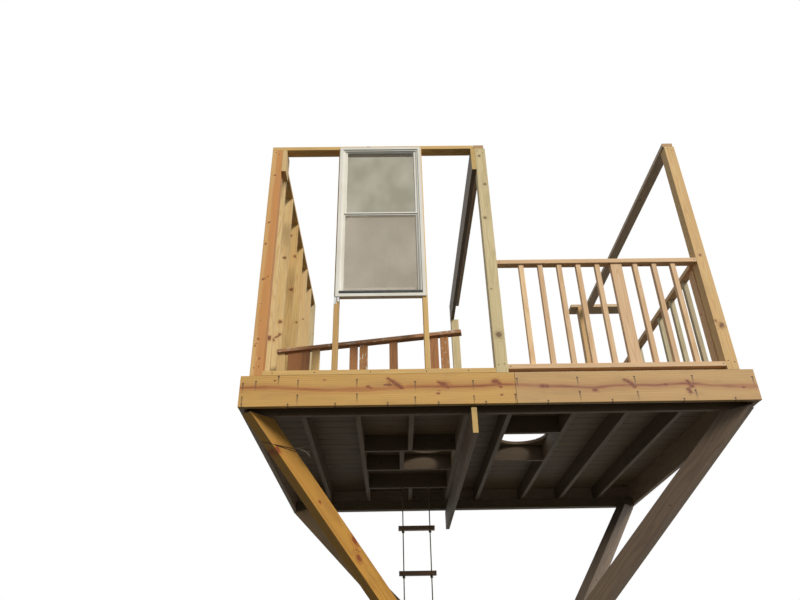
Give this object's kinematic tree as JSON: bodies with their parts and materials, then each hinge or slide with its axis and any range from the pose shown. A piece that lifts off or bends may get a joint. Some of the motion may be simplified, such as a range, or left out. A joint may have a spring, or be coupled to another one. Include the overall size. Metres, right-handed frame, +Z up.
{
  "type": "tree house",
  "caption": "Open lumber tree house on a braced platform, with an open stud room, a double-hung window, a railed porch and a rope ladder.",
  "frame": {"origin": "on the left face of the beam that is bolted to the left trunk, halfway up it and level with the trunk's middle", "axes": "+X to the right along the front, +Y from the front face towards the back, +Z up; the trunk lies on the -X side of the origin"},
  "size_m": [3.956, 3.06, 4.0244],
  "materials": {
    "rim_lumber": "planed, weathered to honey brown",
    "joist_lumber": "planed, shaded and dusty",
    "deck_lumber": "planed decking, weathered",
    "brace_golden": "planed, golden",
    "brace_brown": "planed, brown and shaded",
    "post_orange": "planed fir, orange tan",
    "post_tan": "planed, light tan",
    "post_green": "pressure treated, green tan",
    "stud_lumber": "planed, pale yellow",
    "plate_lumber": "planed, pale tan",
    "rail_lumber": "planed, pale orange",
    "old_wood": "old red-brown stain, worn",
    "window_vinyl": "white extruded frame, satin",
    "window_glass": "clear float glass",
    "bolt_steel": "galvanized",
    "ladder_rope": "twisted natural fibre rope",
    "rung_wood": "worn, brown"
  },
  "bodies": {
    "root": {"rim_front": "rim_lumber", "rim_back": "rim_lumber", "rim_sides": "rim_lumber", "floor_joists": "joist_lumber", "trunk_trimmers": "joist_lumber", "trunk_headers": "joist_lumber", "deck_boards": "deck_lumber", "cross_beams": "joist_lumber", "trunk_beam": "joist_lumber", "trunk_bolts": "bolt_steel", "brace_front_left": "brace_golden", "brace_front_right": "brace_brown", "brace_back_left": "brace_brown", "brace_back_right": "brace_brown", "post_front_left": "post_orange", "post_front_middle": "post_green", "post_front_right": "post_tan", "post_back_left": "post_green", "post_back_middle": "post_green", "post_porch_back": "post_tan", "sole_plate_front": "plate_lumber", "sole_plate_left": "plate_lumber", "top_plate_front": "plate_lumber", "top_plate_left": "plate_lumber", "top_plate_middle": "plate_lumber", "top_plate_right": "plate_lumber", "back_cross_arm": "plate_lumber", "corner_block": "stud_lumber", "beam_middle": "stud_lumber", "wall_studs_left": "stud_lumber", "window_studs": "plate_lumber", "window_frame": "window_vinyl", "window_upper_sash": "window_vinyl", "window_lower_sash": "window_vinyl", "window_panes": "window_glass", "rails_front": "rail_lumber", "pickets_front": "rail_lumber", "rail_side": "rail_lumber", "pickets_side": "rail_lumber", "rail_end_stud": "rail_lumber", "old_rail_cap": "old_wood", "old_rail_uprights": "old_wood", "old_rail_panel": "old_wood", "ladder_rope_left": "ladder_rope", "ladder_rope_right": "ladder_rope", "ladder_knots": "ladder_rope", "ladder_rungs": "rung_wood"}
  },
  "joints": []
}
